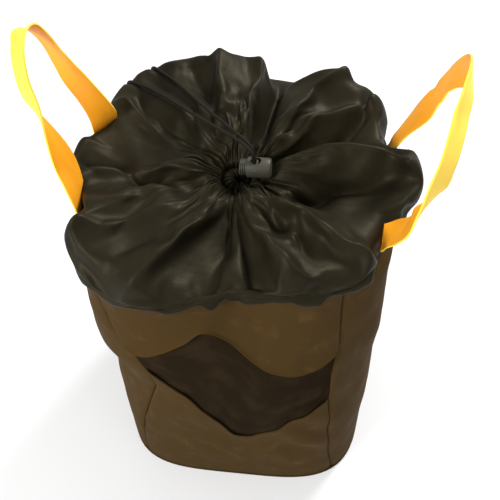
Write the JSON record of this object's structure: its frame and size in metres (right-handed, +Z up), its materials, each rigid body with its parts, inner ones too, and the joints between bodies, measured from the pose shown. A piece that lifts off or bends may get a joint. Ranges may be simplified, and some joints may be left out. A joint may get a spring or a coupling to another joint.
{
  "type": "rope storage bag",
  "caption": "Soft upright bag for climbing and rigging rope: rounded-square fabric walls, a mesh window, a gathered drawcord closure with cord lock and webbing carrying handles.",
  "frame": {"origin": "centre of the base panel's underside, on the floor", "axes": "+Z up; -Y towards the mesh window; +X to the right seen from the window"},
  "size_m": [0.3582, 0.3073, 0.5227],
  "materials": {
    "wall": "foam-backed matt woven fabric, olive brown",
    "base_cloth": "coated woven fabric",
    "board": "matt sheet",
    "mesh": "open ribbed knit",
    "skirt": "coated nylon with a soft shine",
    "tape": "woven binding tape",
    "webbing": "woven polyester webbing",
    "cord": "braided cord",
    "lock": "moulded, slight shine",
    "spring": "drawn wire",
    "hoop": "smooth rod"
  },
  "bodies": {
    "bag": {"base_panel": "base_cloth", "base_board": "board", "base_seam_tape": "tape", "rope_tie_loop": "webbing", "front_upper_panel": "wall", "mesh_window": "mesh", "front_lower_panel": "wall", "left_side_panel": "wall", "right_side_panel": "wall", "back_panel": "wall", "corner_seam_tapes": "tape", "rim_tape": "tape", "hoop_sleeve": "tape", "rim_hoop": "hoop", "skirt_hem": "skirt", "closure_skirt": "skirt", "drawcord_casing": "skirt", "drawcord_ring": "cord", "drawcord_back_strand": "cord", "drawcord_front_strand": "cord", "drawcord_knot": "cord", "left_handle_front_end": "webbing", "left_handle_back_end": "webbing", "right_handle_front_end": "webbing", "right_handle_back_end": "webbing"},
    "lock": {"lock_barrel": "lock", "lock_spring": "spring"},
    "button": {"lock_button": "lock"},
    "left_handle": {"left_handle_web": "webbing"},
    "right_handle": {"right_handle_web": "webbing"}
  },
  "joints": [
    {"name": "left_handle_fold", "type": "hinge", "parent": "bag", "child": "left_handle", "pos_m": [-0.12159, -0.02253, 0.372], "axis": [0.0349, -0.9994, 0], "range_deg": [-60, 109]},
    {"name": "right_handle_fold", "type": "hinge", "parent": "bag", "child": "right_handle", "pos_m": [0.13759, -0.02253, 0.372], "axis": [0.0349, 0.9994, 0], "range_deg": [-68, 100]},
    {"name": "cord_lock_slide", "type": "slide", "parent": "bag", "child": "lock", "axis": [0, 0, 1], "range_m": [0, 0.006]},
    {"name": "lock_button_press", "type": "slide", "parent": "lock", "child": "button", "axis": [1, 0, 0], "range_m": [0, 0.004], "stiffness_N_per_m": 1200, "springref_m": -0.0015, "deforming": ["lock_spring"]}
  ]
}
